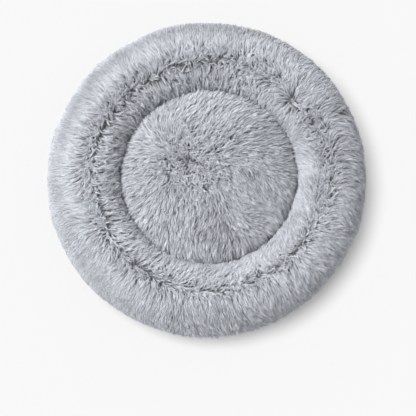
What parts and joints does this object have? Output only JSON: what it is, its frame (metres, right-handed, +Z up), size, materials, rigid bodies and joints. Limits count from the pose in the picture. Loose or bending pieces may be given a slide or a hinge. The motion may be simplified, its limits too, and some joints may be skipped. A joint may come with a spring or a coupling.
{
  "type": "pet cushion bed",
  "caption": "Round plush pet bed: a stuffed ring-shaped rim round a domed sleeping cushion, on a flat non-slip base, with a zipped cover.",
  "frame": {"origin": "centre of the underside, on the floor", "axes": "+Z up; +Y towards the back of the bed, where the zip lies under the rim"},
  "size_m": [0.6, 0.6, 0.155],
  "materials": {
    "plush_outer": "long grey pile, combed outward and down",
    "plush_inner": "long grey pile, combed into the well",
    "plush_cushion": "long grey pile, spreading from a whorl",
    "base_cloth": "plain oxford weave",
    "grip": "moulded soft dots",
    "binding": "ribbed folded tape",
    "label": "blank satin",
    "zip_tape": "herringbone tape",
    "zip_chain": "nylon coil",
    "zip_metal": "tumbled nickel-plated casting",
    "liner": "thin white non-woven",
    "filling": "loose polyester fibre"
  },
  "bodies": {
    "bed": {"rim_outer_panel_front": "plush_outer", "rim_outer_panel_back": "plush_outer", "rim_inner_panel_front": "plush_inner", "rim_inner_panel_back": "plush_inner", "cushion_top_panel": "plush_cushion", "base_panel": "base_cloth", "base_grip_coating": "grip", "base_seam_binding": "binding", "care_label": "label", "rim_insert_case": "liner", "rim_insert_filling": "filling", "pad_insert_case": "liner", "pad_insert_filling": "filling", "zip_tape_upper": "zip_tape", "zip_tape_lower": "zip_tape", "zip_coil_upper": "zip_chain", "zip_coil_lower": "zip_chain", "zip_top_stop": "zip_metal", "zip_bottom_stop": "zip_metal"},
    "slider": {"zip_slider": "zip_metal"},
    "pull": {"zip_pull": "zip_metal"}
  },
  "joints": [
    {"name": "slider_travel", "type": "hinge", "parent": "bed", "child": "slider", "pos_m": [0, 0, 0.019], "axis": [0, 0, -1], "range_deg": [0, 84.5]},
    {"name": "pull_swing", "type": "hinge", "parent": "slider", "child": "pull", "pos_m": [-0.22238, 0.14292, 0.01619], "axis": [-0.7065, 0.4541, 0.5428], "range_deg": [-80, 80]}
  ]
}
